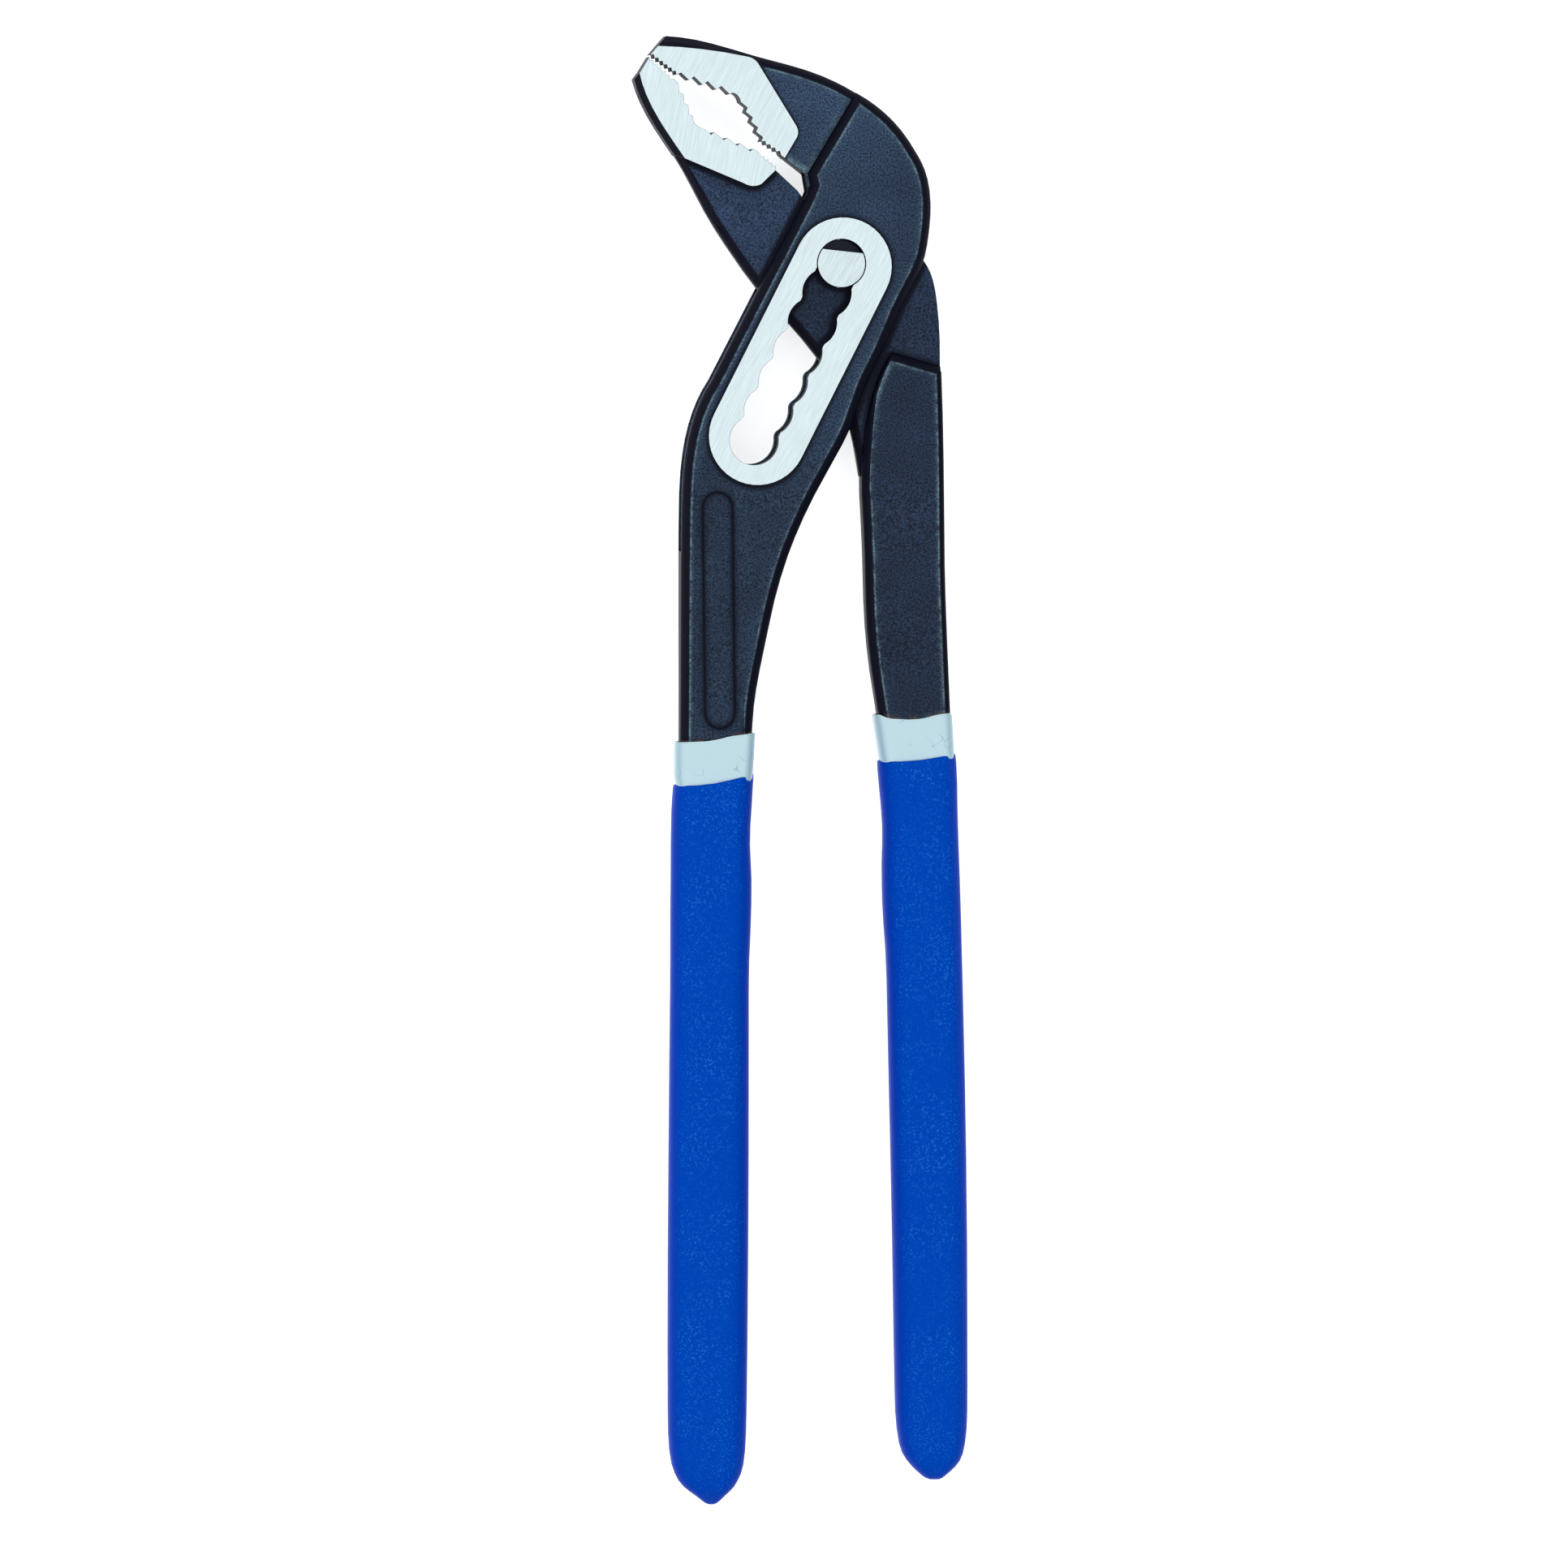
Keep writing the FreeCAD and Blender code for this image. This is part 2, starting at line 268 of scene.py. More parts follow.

# %% [markdown]
# ## Black forged steel with ground faces
# The levers are chrome vanadium steel, drop forged, shot blasted, and blackened. Blasting leaves
# a fine grain, and blackening turns it blue-grey. The slopes are painted nearly black, as painted
# shade. The sides of the jaws and the two bosses round the slot are then ground bright.
# The two skins could be two materials, each given to its own faces, but the rounds cut the faces
# into strips that would have to be sorted again. Which skin a spot has depends on its height and
# on which way it faces, so one material reads both, and mixes the skins by them.

# %% Where the skins are: heights from the middle of the thickness, and places on the levers
BOSS_FACE, PAD_FACE = 7.0 * MM, 5.5 * MM
ABOVE_TONGUE = 3.6 * MM
PANEL_MIDDLE, PANEL_REACH, PANEL_TOP = -24.9 * MM, 5.2 * MM, -44.6 * MM
JAW_BACK, JAW_BACK_AT = (0.0915, 1.0, 0.0), 41.05 * MM
FLAT = 0.93
# The near-black is painted shade for slopes, corners and grooves. The rim colour is partly wear,
# partly a painted highlight.
BARE, PAINTED_SHADE_BLACK, RUBBED_AND_HIGHLIGHT, RUST = "#CDDBDF", "#06081A", "#6F8C98", "#5E4130"
ANYWHERE = -1.0
print("heights of the ground faces in mm:", [round(v / MM, 2) for v in (BOSS_FACE, PAD_FACE)])


# %% Two measures of a spot, and the lines that grinding leaves


def how_level(tree, facing):
    """1 where a spot faces straight up or straight down, and 0 on a wall."""
    return add(
        tree, "ShaderNodeMath", {0: facing.outputs["Z"]}, operation="ABSOLUTE"
    ).outputs[0]


def off_middle(tree, point):
    """How far a spot is above or below the middle of the thickness."""
    above = add(
        tree, "ShaderNodeMath", {0: point.outputs["Z"], 1: MID}, operation="SUBTRACT"
    ).outputs[0]
    return add(tree, "ShaderNodeMath", {0: above}, operation="ABSOLUTE").outputs[0]


def brushed(tree, place, angle, seed):
    """Grinding lines at that angle, a few millimetres long. Real ones are finer than 0.1 mm, and
    these are 0.22 mm wide, so that they show."""
    turned = add(
        tree,
        "ShaderNodeMapping",
        {
            "Vector": place.outputs["Object"],
            "Location": (seed * 0.1, 0, 0),
            "Rotation": (0, 0, math.radians(angle)),
            "Scale": (5 * MM, 0.22 * MM, 5 * MM),
        },
        vector_type="TEXTURE",
    )
    return add(
        tree,
        "ShaderNodeTexNoise",
        {"Vector": turned.outputs[0], "Scale": 1.0, "Detail": 3.0, "Roughness": 0.6},
    ).outputs["Fac"]


# %% The black skin and the ground skin in one material


def black_forged(name, face, ground, angle, zones, dip):
    """Blackened forging. ground is a list of (height, slack, lowest y) for its bright faces.
    zones is a list of (y from, y to, shade up to the first, shade past the second) that make the
    black lighter or darker along the lever. Below y = dip, the corners get no painted shade, and
    the steel is wetted at the rim of the dip."""
    material, tree, steel, place = new_finish(name, Roughness=0.5, Specular_IOR_Level=0.10)
    point = add(tree, "ShaderNodeSeparateXYZ", {0: place.outputs["Object"]})
    facing = add(tree, "ShaderNodeSeparateXYZ", {0: place.outputs["Normal"]})
    height, up = off_middle(tree, point), how_level(tree, facing)
    level = add(
        tree, "ShaderNodeMath", {0: up, 1: FLAT}, operation="GREATER_THAN"
    ).outputs[0]

    bright = None
    for at, slack, lowest in ground:
        near = add(
            tree, "ShaderNodeMath", {0: height, 1: at, 2: slack}, operation="COMPARE"
        ).outputs[0]
        past = add(
            tree, "ShaderNodeMath", {0: point.outputs["Y"], 1: lowest}, operation="GREATER_THAN"
        ).outputs[0]
        both = add(tree, "ShaderNodeMath", {0: near, 1: past}, operation="MULTIPLY").outputs[0]
        bright = (
            both
            if bright is None
            else add(tree, "ShaderNodeMath", {0: bright, 1: both}, operation="MAXIMUM").outputs[0]
        )
    bright = add(tree, "ShaderNodeMath", {0: bright, 1: level}, operation="MULTIPLY").outputs[0]

    # Shot-blast grain over clouds of a few millimetres. Real dimples are 0.1 to 0.3 mm, and these
    # are at the coarse end, so that they show.
    grain = add(
        tree,
        "ShaderNodeTexNoise",
        {"Vector": place.outputs["Object"], "Scale": 1 / (0.34 * MM), "Detail": 2.0},
    ).outputs["Fac"]
    cloud = add(
        tree,
        "ShaderNodeTexNoise",
        {"Vector": place.outputs["Object"], "Scale": 1 / (9 * MM), "Detail": 3.0},
    ).outputs["Fac"]
    shade = add(
        tree,
        "ShaderNodeMapRange",
        {"Value": grain, "From Min": 0.34, "From Max": 0.66, "To Min": 0.28, "To Max": 1.86},
    ).outputs[0]
    patch = add(
        tree,
        "ShaderNodeMapRange",
        {"Value": cloud, "From Min": 0.3, "From Max": 0.7, "To Min": 0.85, "To Max": 1.15},
    ).outputs[0]
    shade = add(tree, "ShaderNodeMath", {0: shade, 1: patch}, operation="MULTIPLY").outputs[0]
    for y_from, y_to, at_from, at_to in zones:
        zone = add(
            tree,
            "ShaderNodeMapRange",
            {
                "Value": point.outputs["Y"],
                "From Min": y_from * MM,
                "From Max": y_to * MM,
                "To Min": at_from,
                "To Max": at_to,
            },
            interpolation_type="SMOOTHSTEP",
        ).outputs[0]
        shade = add(tree, "ShaderNodeMath", {0: shade, 1: zone}, operation="MULTIPLY").outputs[0]
    skin = add(
        tree,
        "ShaderNodeVectorMath",
        {0: linear(face)[:3], "Scale": shade},
        operation="SCALE",
    ).outputs[0]

    # Painted shade: slopes and walls are painted near-black. The rounded rims of the flats are
    # painted lighter: partly wear of the black, partly a painted highlight.
    slope = add(
        tree, "ShaderNodeMapRange", {"Value": up, "From Min": 0.955, "From Max": 0.992}
    ).outputs[0]
    black = add(
        tree,
        "ShaderNodeMix",
        {0: slope, 6: linear(PAINTED_SHADE_BLACK), 7: skin},
        data_type="RGBA",
    ).outputs[2]
    # Near an outer edge, short rays sent into the steel come out again: that is the rim, lightened
    # partly as wear and partly as a painted highlight.
    thick = add(
        tree,
        "ShaderNodeAmbientOcclusion",
        {"Distance": 1.8 * MM},
        samples=8,
        inside=True,
    ).outputs["AO"]
    beside = add(
        tree,
        "ShaderNodeMapRange",
        {"Value": thick, "From Min": 1.0, "From Max": 0.83, "To Min": 0.0, "To Max": 0.85},
    ).outputs[0]
    turning = add(
        tree,
        "ShaderNodeMapRange",
        {"Value": up, "From Min": 0.9988, "From Max": 0.993, "To Min": 0.0, "To Max": 1.0},
    ).outputs[0]
    rim = add(tree, "ShaderNodeMath", {0: beside, 1: turning}, operation="MAXIMUM").outputs[0]
    high = add(
        tree, "ShaderNodeMath", {0: height, 1: ABOVE_TONGUE}, operation="GREATER_THAN"
    ).outputs[0]
    rim = add(tree, "ShaderNodeMath", {0: rim, 1: high}, operation="MULTIPLY").outputs[0]
    rim = add(tree, "ShaderNodeMath", {0: rim, 1: slope}, operation="MULTIPLY").outputs[0]
    # Painted highlight: rims that face toward the grips, away from the lamps, get only a quarter
    # of the lightening.
    painted_highlight_side = add(
        tree,
        "ShaderNodeMapRange",
        {"Value": facing.outputs["Y"], "From Min": -0.16, "From Max": -0.02, "To Min": 0.25},
    ).outputs[0]
    rim = add(tree, "ShaderNodeMath", {0: rim, 1: painted_highlight_side}, operation="MULTIPLY").outputs[0]
    # At the lip of the sunk panel the rim is not lightened but painted near-black: painted shade
    # in the groove.
    beside_panel = add(
        tree,
        "ShaderNodeMath",
        {0: point.outputs["X"], 1: PANEL_MIDDLE, 2: PANEL_REACH},
        operation="COMPARE",
    ).outputs[0]
    below_slot = add(
        tree, "ShaderNodeMath", {0: point.outputs["Y"], 1: PANEL_TOP}, operation="LESS_THAN"
    ).outputs[0]
    lip = add(
        tree, "ShaderNodeMath", {0: beside_panel, 1: below_slot}, operation="MULTIPLY"
    ).outputs[0]
    painted_groove_shade = add(tree, "ShaderNodeMath", {0: rim, 1: lip}, operation="MULTIPLY").outputs[0]
    rim = add(
        tree, "ShaderNodeMath", {0: rim, 1: lip}, operation="SUBTRACT", use_clamp=True
    ).outputs[0]
    patchy = add(
        tree,
        "ShaderNodeTexNoise",
        {"Vector": place.outputs["Object"], "Scale": 1 / (1.6 * MM), "Detail": 4.0},
    ).outputs["Fac"]
    rim_breakup = add(
        tree,
        "ShaderNodeMapRange",
        {"Value": patchy, "From Min": 0.36, "From Max": 0.60, "To Min": 0.20, "To Max": 1.0},
    ).outputs[0]
    fleck = add(
        tree,
        "ShaderNodeMapRange",
        {"Value": grain, "From Min": 0.38, "From Max": 0.62, "To Min": 0.45, "To Max": 1.3},
    ).outputs[0]
    rim_breakup = add(tree, "ShaderNodeMath", {0: rim_breakup, 1: fleck}, operation="MULTIPLY").outputs[0]
    rim = add(
        tree, "ShaderNodeMath", {0: rim, 1: rim_breakup}, operation="MULTIPLY", use_clamp=True
    ).outputs[0]
    black = add(
        tree, "ShaderNodeMix", {0: rim, 6: black, 7: linear(RUBBED_AND_HIGHLIGHT)}, data_type="RGBA"
    ).outputs[2]
    black = add(
        tree, "ShaderNodeMix", {0: painted_groove_shade, 6: black, 7: linear(PAINTED_SHADE_BLACK)}, data_type="RGBA"
    ).outputs[2]

    # Painted shade: corners, where short rays meet steel close by, are painted near-black, and so
    # is the back of the upper jaw past the ground pad. Below the rim of the dip the corners are
    # left as they are.
    corner = add(
        tree, "ShaderNodeAmbientOcclusion", {"Distance": 1.5 * MM}, samples=8
    ).outputs["AO"]
    free_of_painted_shade = add(
        tree,
        "ShaderNodeMapRange",
        {"Value": corner, "From Min": 0.86, "From Max": 0.985, "To Min": 0.05, "To Max": 1.0},
    ).outputs[0]
    at_dip = add(
        tree, "ShaderNodeMath", {0: point.outputs["Y"], 1: dip}, operation="LESS_THAN"
    ).outputs[0]
    free_of_painted_shade = add(tree, "ShaderNodeMath", {0: free_of_painted_shade, 1: at_dip}, operation="MAXIMUM").outputs[0]
    strip = add(
        tree,
        "ShaderNodeVectorMath",
        {0: place.outputs["Object"], 1: JAW_BACK},
        operation="DOT_PRODUCT",
    ).outputs["Value"]
    past_pad = add(
        tree, "ShaderNodeMath", {0: strip, 1: JAW_BACK_AT}, operation="GREATER_THAN"
    ).outputs[0]
    free_of_painted_shade = add(
        tree, "ShaderNodeMath", {0: free_of_painted_shade, 1: past_pad}, operation="SUBTRACT", use_clamp=True
    ).outputs[0]
    black = add(
        tree, "ShaderNodeMix", {0: free_of_painted_shade, 6: linear(PAINTED_SHADE_BLACK), 7: black}, data_type="RGBA"
    ).outputs[2]

    # Water sits against the rim of the dip, and leaves a thin broken line of rust.
    wet = add(
        tree, "ShaderNodeMapRange", {"Value": corner, "From Min": 0.84, "From Max": 0.66}
    ).outputs[0]
    wet = add(tree, "ShaderNodeMath", {0: wet, 1: at_dip}, operation="MULTIPLY").outputs[0]
    broken = add(
        tree, "ShaderNodeMapRange", {"Value": patchy, "From Min": 0.46, "From Max": 0.56}
    ).outputs[0]
    wet = add(tree, "ShaderNodeMath", {0: wet, 1: broken}, operation="MULTIPLY").outputs[0]
    black = add(
        tree, "ShaderNodeMix", {0: wet, 6: black, 7: linear(RUST)}, data_type="RGBA"
    ).outputs[2]

    lines = brushed(tree, place, angle, 1.0)
    sheen = add(
        tree,
        "ShaderNodeMapRange",
        {"Value": lines, "From Min": 0.25, "From Max": 0.75, "To Min": 0.86, "To Max": 1.14},
    ).outputs[0]
    metal = add(
        tree,
        "ShaderNodeVectorMath",
        {0: linear(BARE)[:3], "Scale": sheen},
        operation="SCALE",
    ).outputs[0]
    colour = add(
        tree, "ShaderNodeMix", {0: bright, 6: black, 7: metal}, data_type="RGBA"
    ).outputs[2]
    tree.links.new(colour, steel.inputs["Base Color"])
    tree.links.new(bright, steel.inputs["Metallic"])
    rough = add(
        tree, "ShaderNodeMapRange", {"Value": bright, "To Min": 0.52, "To Max": 0.34}
    ).outputs[0]
    tree.links.new(rough, steel.inputs["Roughness"])
    relief = add(tree, "ShaderNodeMix", {0: bright, 2: grain, 3: lines}).outputs[0]
    bump = add(
        tree, "ShaderNodeBump", {"Height": relief, "Strength": 0.25, "Distance": 0.05 * MM}
    ).outputs[0]
    tree.links.new(bump, steel.inputs["Normal"])
    print(name, "nodes:", len(tree.nodes))
    return material


slotted_finish = black_forged(
    "blackened_forged_steel",
    face="#2A3A50",
    ground=[(BOSS_FACE, 0.15 * MM, ANYWHERE), (PAD_FACE, 0.12 * MM, 10 * MM)],
    angle=62,
    zones=[(-50, -32, 0.77, 1.0), (14, 32, 1.0, 1.34)],
    dip=-95.3 * MM,
)
inner_finish = black_forged(
    "blackened_forged_steel_inner",
    face="#212E43",
    ground=[(PAD_FACE, 0.12 * MM, ANYWHERE)],
    angle=78,
    zones=[(-10, 6, 1.0, 1.6), (-80, -60, 0.88, 1.0)],
    dip=-90.8 * MM,
)
slotted.data.materials[0] = slotted_finish
inner.data.materials[0] = inner_finish

# %% [markdown]
# ## The ground pin
# The pin is hardened steel, turned, and ground flush with the bosses in the same pass, so its
# ends carry the same fine lines. Its round side and its flat are painted near-black, as painted
# shade down in the hole. The lever's material could be used again, but the pin has no black skin,
# so a short one of its own is easier to read: it is bright where it faces up at the full height,
# and painted dark elsewhere.

# %% Ground steel for the pin
pin_finish, tree, steel, place = new_finish("ground_pin_steel", Metallic=1.0)
point = add(tree, "ShaderNodeSeparateXYZ", {0: place.outputs["Object"]})
facing = add(tree, "ShaderNodeSeparateXYZ", {0: place.outputs["Normal"]})
height, up = off_middle(tree, point), how_level(tree, facing)
JUST_UNDER_FLUSH = 6.8 * MM
flush = add(
    tree, "ShaderNodeMath", {0: height, 1: JUST_UNDER_FLUSH}, operation="GREATER_THAN"
).outputs[0]
end = add(tree, "ShaderNodeMapRange", {"Value": up, "From Min": 0.6, "From Max": 0.95}).outputs[0]
end = add(tree, "ShaderNodeMath", {0: end, 1: flush}, operation="MULTIPLY").outputs[0]
lines = brushed(tree, place, 60, 3.0)
sheen = add(
    tree,
    "ShaderNodeMapRange",
    {"Value": lines, "From Min": 0.25, "From Max": 0.75, "To Min": 0.76, "To Max": 1.14},
).outputs[0]
metal = add(
    tree, "ShaderNodeVectorMath", {0: linear(BARE)[:3], "Scale": sheen}, operation="SCALE"
).outputs[0]
# Painted shade: the pin's side and flat are painted near-black.
colour = add(
    tree, "ShaderNodeMix", {0: end, 6: linear("#23252E"), 7: metal}, data_type="RGBA"
).outputs[2]
tree.links.new(colour, steel.inputs["Base Color"])
steel.inputs["Roughness"].default_value = 0.34
bump = add(
    tree, "ShaderNodeBump", {"Height": lines, "Strength": 0.25, "Distance": 0.04 * MM}
).outputs[0]
tree.links.new(bump, steel.inputs["Normal"])
pin.data.materials[0] = pin_finish
print(pin_finish.name, "nodes:", len(tree.nodes))

# %% [markdown]
# ## Two coats of dip on each handle
# The handles are dipped twice in liquid vinyl: first deep, in pale grey, then less deep, in
# blue. Each coat is a skin of about 0.7 mm that follows the steel, rounds every edge, ends in a
# wavy rim where the handle met the surface of the bath, and runs to a drip at the tip. The plain
# CAD solids could be rounded as the levers are, but their rims are straight and their drips are
# plain stubs, so the coats are drawn afresh. Each starts as a flat plate across the handle, whose
# corners are rounded and whose outline is then drawn down the handle, ring after ring. The rim is
# pushed into its wave, Solidify gives the skin its thickness, and Bevel rounds the rim.

# %% Draw a coat down a handle
NEAR = 0.01
LONG_SIDE = 4 * MM


def select_where(mesh, wanted):
    """Select the vertices for which wanted(x, y, z in mm) is true, and nothing else."""
    shape = bmesh.from_edit_mesh(mesh)
    bpy.ops.mesh.select_all(action="DESELECT")
    for corner in shape.verts:
        if wanted(*(corner.co / MM)):
            corner.select = True
    shape.select_flush(True)
    bmesh.update_edit_mesh(mesh)


def between(line, x):
    """The height of a line of points at x."""
    for (x0, y0), (x1, y1) in zip(line, line[1:]):
        if x <= x1:
            return y0 + (y1 - y0) * max(0.0, (x - x0) / (x1 - x0))
    return line[-1][1]


def coat(name, rows, rim_line, corner, wall):
    """A dipped skin. rows are (y, left, right, half thickness) from the rim to the tip, rim_line
    is the rim's (x, y) from left to right, corner is the round of the section, all in mm."""
    y, left, right, half = rows[0]
    middle = MID / MM
    here = Vector(((left + right) / 2, y, middle)) * MM
    bpy.ops.object.select_all(action="DESELECT")
    bpy.ops.mesh.primitive_plane_add(size=MM, location=here, rotation=(math.pi / 2, 0, 0))
    made = bpy.context.object
    made.name = name
    made.data.name = name
    bpy.ops.object.transform_apply(location=True, rotation=True, scale=True)
    bpy.ops.object.mode_set(mode="EDIT")
    bpy.ops.mesh.select_all(action="SELECT")
    bpy.ops.transform.resize(value=(right - left, 1, 2 * half), center_override=here)
    bpy.ops.mesh.bevel(offset=corner * MM, segments=6, affect="VERTICES")
    bpy.ops.mesh.select_all(action="SELECT")
    bpy.ops.mesh.delete(type="ONLY_FACE")
    # The two long sides are divided, so that the rim can be pushed into a wave.
    bpy.ops.mesh.select_all(action="DESELECT")
    shape = bmesh.from_edit_mesh(made.data)
    for edge in shape.edges:
        rise = abs(edge.verts[0].co.z - edge.verts[1].co.z)
        edge.select = edge.calc_length() > LONG_SIDE and rise < 0.1 * MM
    bmesh.update_edit_mesh(made.data)
    bpy.ops.mesh.subdivide(number_cuts=9)
    bpy.ops.mesh.select_all(action="SELECT")
    for y2, left2, right2, half2 in rows[1:]:
        there = Vector(((left2 + right2) / 2, y2, middle)) * MM
        bpy.ops.mesh.extrude_edges_move(TRANSFORM_OT_translate={"value": there - here})
        bpy.ops.transform.resize(
            value=((right2 - left2) / (right - left), 1, half2 / half),
            center_override=there,
        )
        left, right, half, here = left2, right2, half2, there
    bpy.ops.mesh.edge_face_add()

    # Push the rim and the two rings under it into the wave, one column of vertices at a time.
    for (row, *_), share in zip(rows[:3], (1.0, 0.85, 0.45)):
        columns = sorted(
            {
                round(v.co.x / MM, 2)
                for v in bmesh.from_edit_mesh(made.data).verts
                if abs(v.co.y / MM - row) < NEAR
            }
        )
        for column in columns:
            select_where(
                made.data,
                lambda px, py, pz: abs(py - row) < NEAR and abs(px - column) < 1.2 * NEAR,
            )
            lift = (between(rim_line, column) - rows[0][0]) * share
            bpy.ops.transform.translate(value=(0, lift * MM, 0))
    bpy.ops.mesh.select_all(action="SELECT")
    bpy.ops.mesh.normals_make_consistent(inside=False)
    bpy.ops.object.mode_set(mode="OBJECT")

    skin = made.modifiers.new("skin", "SOLIDIFY")
    skin.thickness = wall * MM
    skin.offset = -1
    skin.use_even_offset = True
    rounding = made.modifiers.new("rounded_rim", "BEVEL")
    rounding.width = 0.28 * MM
    rounding.segments = 3
    rounding.limit_method = "ANGLE"
    rounding.angle_limit = math.radians(60)
    for step in ("skin", "rounded_rim"):
        bpy.ops.object.modifier_apply(modifier=step)
    bpy.ops.object.shade_smooth_by_angle(angle=math.radians(45))
    print(name, "faces:", len(made.data.polygons))
    return made


# %% The blue coats from the rim to the tip: (y, left, right, half thickness) in mm
blue_left_rows = [
    (-105.0, -33.80, -17.50, 5.50), (-106.6, -33.95, -17.60, 5.60), (-110.6, -34.18, -17.86, 5.60),
    (-114.6, -34.26, -18.16, 5.60), (-118.6, -34.33, -18.25, 5.60), (-122.6, -34.34, -18.08, 5.60),
    (-125.6, -34.36, -17.94, 5.60), (-130.6, -34.42, -17.96, 5.60), (-136.5, -34.44, -18.15, 5.60),
    (-142.5, -34.45, -18.42, 5.60), (-148.5, -34.48, -18.50, 5.60), (-162.0, -34.64, -18.50, 5.60),
    (-182.0, -34.82, -18.53, 5.60), (-202.0, -34.97, -18.63, 5.60), (-222.0, -35.03, -18.80, 5.60),
    (-234.0, -35.00, -18.96, 5.58), (-239.0, -34.93, -19.08, 5.54), (-242.5, -34.72, -19.25, 5.46),
    (-245.5, -34.25, -19.60, 5.30), (-247.4, -33.60, -20.10, 5.05), (-248.8, -32.90, -20.75, 4.70),
    (-250.0, -31.90, -21.45, 4.25), (-251.0, -30.70, -22.35, 3.70), (-251.8, -29.60, -23.20, 3.10),
    (-252.5, -28.70, -23.90, 2.45), (-253.1, -27.95, -24.50, 1.80), (-253.5, -27.35, -25.00, 1.20),
    (-253.75, -26.80, -25.50, 0.60),
]
blue_right_rows = [
    (-101.0, 7.95, 23.80, 5.50), (-102.6, 8.00, 24.02, 5.60), (-106.7, 8.35, 24.22, 5.60),
    (-110.6, 8.70, 24.27, 5.60), (-114.6, 8.99, 24.37, 5.60), (-118.6, 9.01, 24.51, 5.60),
    (-122.6, 8.88, 24.65, 5.60), (-126.6, 8.93, 24.79, 5.60), (-130.6, 9.02, 24.92, 5.60),
    (-135.0, 9.27, 25.04, 5.60), (-140.5, 9.68, 25.18, 5.60), (-146.5, 9.92, 25.35, 5.60),
    (-155.5, 10.11, 25.57, 5.60), (-168.7, 10.40, 25.87, 5.60), (-182.0, 10.72, 26.10, 5.60),
    (-200.0, 11.08, 26.31, 5.60), (-218.0, 11.36, 26.38, 5.60), (-230.0, 11.58, 26.40, 5.58),
    (-235.0, 11.72, 26.38, 5.54), (-238.5, 12.02, 26.25, 5.46), (-241.5, 12.48, 25.92, 5.30),
    (-243.5, 13.10, 25.50, 5.05), (-245.0, 14.00, 24.90, 4.70), (-246.2, 15.00, 24.00, 4.25),
    (-247.1, 15.90, 23.10, 3.75), (-247.8, 16.70, 22.30, 3.20), (-248.35, 17.35, 21.70, 2.60),
    (-248.7, 18.00, 21.20, 2.00), (-248.9, 18.60, 20.75, 1.40),
]
COAT = 0.7
print("rows down the left and right handles:", len(blue_left_rows), len(blue_right_rows))

# %% The grey coats under them
TIP_FROM = -230
THINNEST = 0.5


def under(rows, start):
    """The coat beneath: the same rows one coat smaller, from a rim higher up the handle."""
    smaller = [
        (y + (COAT if y < TIP_FROM else 0), left + COAT, right - COAT, half - COAT)
        for y, left, right, half in rows
        if half - COAT > THINNEST and right - left > 2 * COAT + THINNEST
    ]
    return start + smaller[1:]


grey_left_rows = under(
    blue_left_rows,
    [(-96.5, -33.60, -17.25, 4.72), (-97.9, -33.72, -17.34, 4.90), (-100.5, -33.75, -17.48, 4.92),
     (-104.6, -33.72, -17.80, 4.92)],
)
grey_right_rows = under(
    blue_right_rows,
    [(-92.4, 6.95, 23.05, 4.72), (-93.8, 7.10, 23.15, 4.90), (-96.4, 7.50, 23.30, 4.92),
     (-100.4, 8.15, 23.50, 4.92)],
)
print("rows of the grey coats:", len(grey_left_rows), len(grey_right_rows))

# %% Make the four coats
grey_left = coat(
    "left_dip_grey",
    grey_left_rows,
    [(-33.7, -97.5), (-27.3, -97.3), (-24.9, -96.9), (-22.7, -96.3), (-17.9, -95.7),
     (-17.1, -95.8)],
    corner=2.4,
    wall=COAT,
)
blue_left = coat(
    "left_dip_blue",
    blue_left_rows,
    [(-33.8, -106.3), (-29.4, -106.25), (-25.8, -105.85), (-22.2, -105.1), (-17.5, -104.0)],
    corner=4.2,
    wall=COAT,
)
grey_right = coat(
    "right_dip_grey",
    grey_right_rows,
    [(6.9, -92.3), (7.8, -91.9), (9.9, -92.75), (14.1, -93.0), (16.8, -92.8), (20.2, -91.9),
     (22.5, -91.7), (23.1, -92.2)],
    corner=2.4,
    wall=COAT,
)
blue_right = coat(
    "right_dip_blue",
    blue_right_rows,
    [(8.1, -101.5), (12.2, -101.5), (16.4, -101.2), (20.2, -100.6), (23.7, -100.0)],
    corner=4.2,
    wall=COAT,
)
for piece, node, body, finish in (
    (grey_left, "left_grip_grey", "slotted", "grey_dip"),
    (blue_left, "left_grip_blue", "slotted", "blue_dip"),
    (grey_right, "right_grip_grey", "inner", "grey_dip"),
    (blue_right, "right_grip_blue", "inner", "blue_dip"),
):
    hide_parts(node)
    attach(piece, body)
    print(piece.name, "rides on", body)

# %% [markdown]
# ## Dipped vinyl
# The dip is PVC plastisol, cured in an oven. The grey first coat cures glossy. The blue second
# coat is satin, with a fine pebble on its flat sides where the handle is held. The pebble could
# be a picture wrapped round the handle, but that stretches at the tip. Noise on the Object
# coordinates keeps one grain size all over, and the way a spot faces tells flats from edges. The
# rounded edges of both coats are painted darker than their flats, as painted shade.

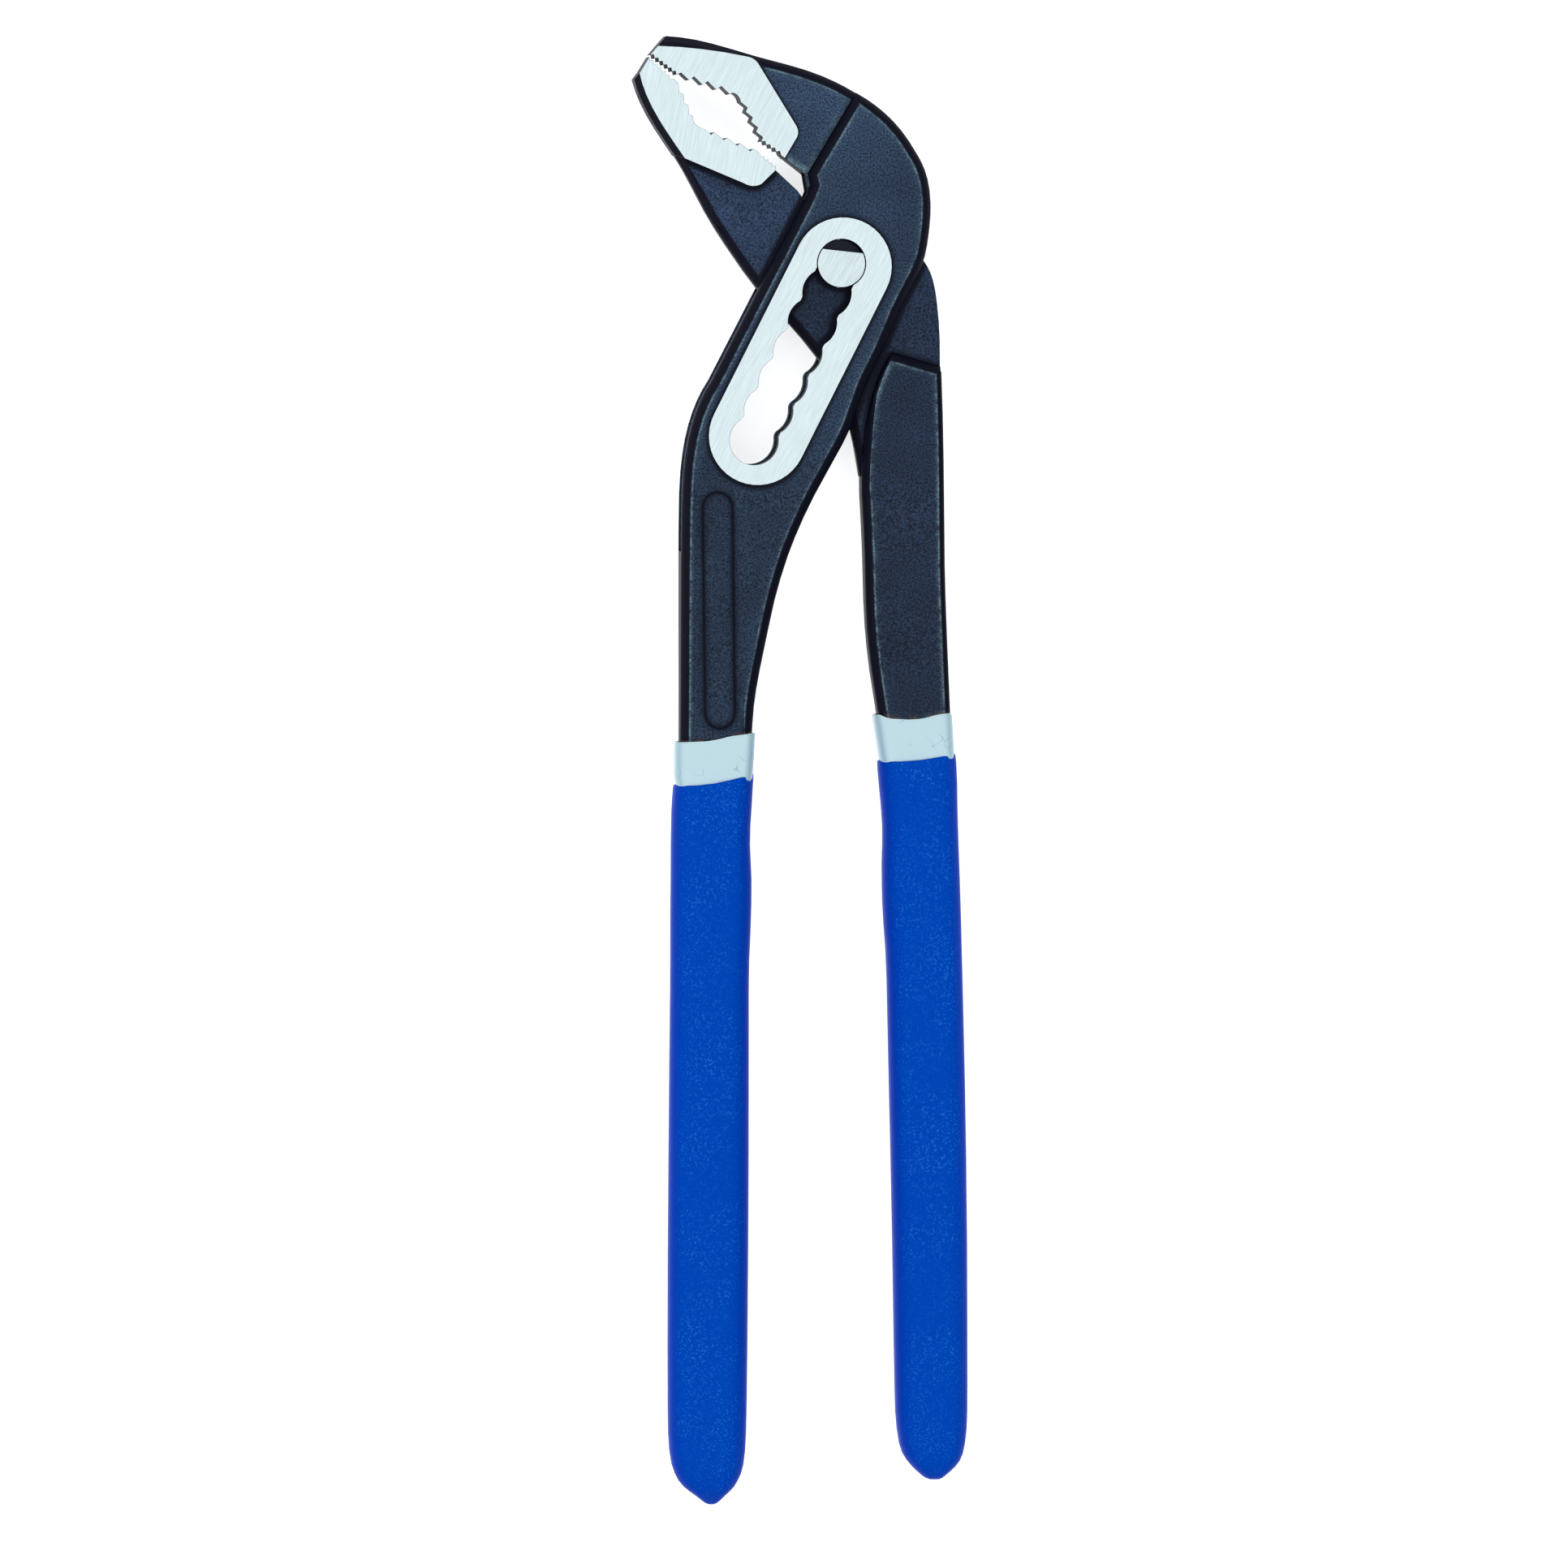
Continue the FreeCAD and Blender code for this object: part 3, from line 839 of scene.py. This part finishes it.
# %% Grey gloss vinyl
grey_finish, tree, vinyl, place = new_finish("grey_plastisol", Roughness=0.28, IOR=1.5)
cloud = add(
    tree,
    "ShaderNodeTexNoise",
    {"Vector": place.outputs["Object"], "Scale": 1 / (6 * MM), "Detail": 3.0},
).outputs["Fac"]
tint = add(
    tree,
    "ShaderNodeMix",
    {0: cloud, 6: linear("#C2E3E8"), 7: linear("#C9E3EF")},
    data_type="RGBA",
).outputs[2]
facing = add(tree, "ShaderNodeSeparateXYZ", {0: place.outputs["Normal"]})
up = how_level(tree, facing)
flat_side = add(
    tree, "ShaderNodeMapRange", {"Value": up, "From Min": 0.75, "From Max": 0.99}
).outputs[0]
# Painted shade: where the coat rounds over at its sides it is painted a darker grey.
tint = add(
    tree, "ShaderNodeMix", {0: flat_side, 6: linear("#A6C6D2"), 7: tint}, data_type="RGBA"
).outputs[2]
# Hair-thin scuffs follow one level of a slow noise, here and there.
hair = add(
    tree,
    "ShaderNodeTexNoise",
    {"Vector": place.outputs["Object"], "Scale": 1 / (5 * MM), "Detail": 1.0, "Distortion": 0.4},
).outputs["Fac"]
thin = add(
    tree, "ShaderNodeMath", {0: hair, 1: 0.43, 2: 0.004}, operation="COMPARE"
).outputs[0]
here_only = add(
    tree, "ShaderNodeMapRange", {"Value": cloud, "From Min": 0.50, "From Max": 0.62}
).outputs[0]
scuff = add(tree, "ShaderNodeMath", {0: thin, 1: here_only}, operation="MULTIPLY").outputs[0]
scuff = add(tree, "ShaderNodeMath", {0: scuff, 1: 0.5}, operation="MULTIPLY").outputs[0]
colour = add(
    tree, "ShaderNodeMix", {0: scuff, 6: tint, 7: linear("#6B7F8C")}, data_type="RGBA"
).outputs[2]
tree.links.new(colour, vinyl.inputs["Base Color"])
ripple = add(
    tree, "ShaderNodeBump", {"Height": cloud, "Strength": 0.3, "Distance": 0.15 * MM}
).outputs[0]
tree.links.new(ripple, vinyl.inputs["Normal"])
print(grey_finish.name, "nodes:", len(tree.nodes))

# %% Blue satin vinyl
blue_finish, tree, vinyl, place = new_finish("blue_plastisol", Roughness=0.45, IOR=1.5)
# A real pebble is about 0.2 mm across. This one is twice as coarse, so that it shows.
pebble = add(
    tree,
    "ShaderNodeTexNoise",
    {"Vector": place.outputs["Object"], "Scale": 1 / (0.40 * MM), "Detail": 2.0},
).outputs["Fac"]
facing = add(tree, "ShaderNodeSeparateXYZ", {0: place.outputs["Normal"]})
up = how_level(tree, facing)
flat_side = add(
    tree, "ShaderNodeMapRange", {"Value": up, "From Min": 0.60, "From Max": 1.0}
).outputs[0]
speck = add(
    tree, "ShaderNodeMapRange", {"Value": pebble, "From Min": 0.54, "From Max": 0.68}
).outputs[0]
handled = add(
    tree,
    "ShaderNodeTexNoise",
    {"Vector": place.outputs["Object"], "Scale": 1 / (13 * MM), "Detail": 2.0},
).outputs["Fac"]
handled = add(
    tree,
    "ShaderNodeMapRange",
    {"Value": handled, "From Min": 0.38, "From Max": 0.62, "To Min": 0.3, "To Max": 1.0},
).outputs[0]
speck = add(tree, "ShaderNodeMath", {0: speck, 1: handled}, operation="MULTIPLY").outputs[0]
speck = add(tree, "ShaderNodeMath", {0: speck, 1: flat_side}, operation="MULTIPLY").outputs[0]
# Painted shade: the rounded sides are painted a darker blue than the flats.
base = add(
    tree,
    "ShaderNodeMix",
    {0: flat_side, 6: linear("#003AB0"), 7: linear("#0047BB")},
    data_type="RGBA",
).outputs[2]
colour = add(
    tree, "ShaderNodeMix", {0: speck, 6: base, 7: linear("#1D6BD4")}, data_type="RGBA"
).outputs[2]
tree.links.new(colour, vinyl.inputs["Base Color"])
vinyl.inputs["Specular IOR Level"].default_value = 0.04
vinyl.inputs["Specular Tint"].default_value = linear("#5C9CD8")
bump = add(
    tree, "ShaderNodeBump", {"Height": pebble, "Strength": 0.3, "Distance": 0.08 * MM}
).outputs[0]
tree.links.new(bump, vinyl.inputs["Normal"])
print(blue_finish.name, "nodes:", len(tree.nodes))

# %% Give the four coats their vinyl
for piece in (grey_left, grey_right):
    piece.data.materials.append(grey_finish)
for piece in (blue_left, blue_right):
    piece.data.materials.append(blue_finish)
for piece in (grey_left, grey_right, blue_left, blue_right):
    print(piece.name, "is made of", piece.data.materials[0].name)
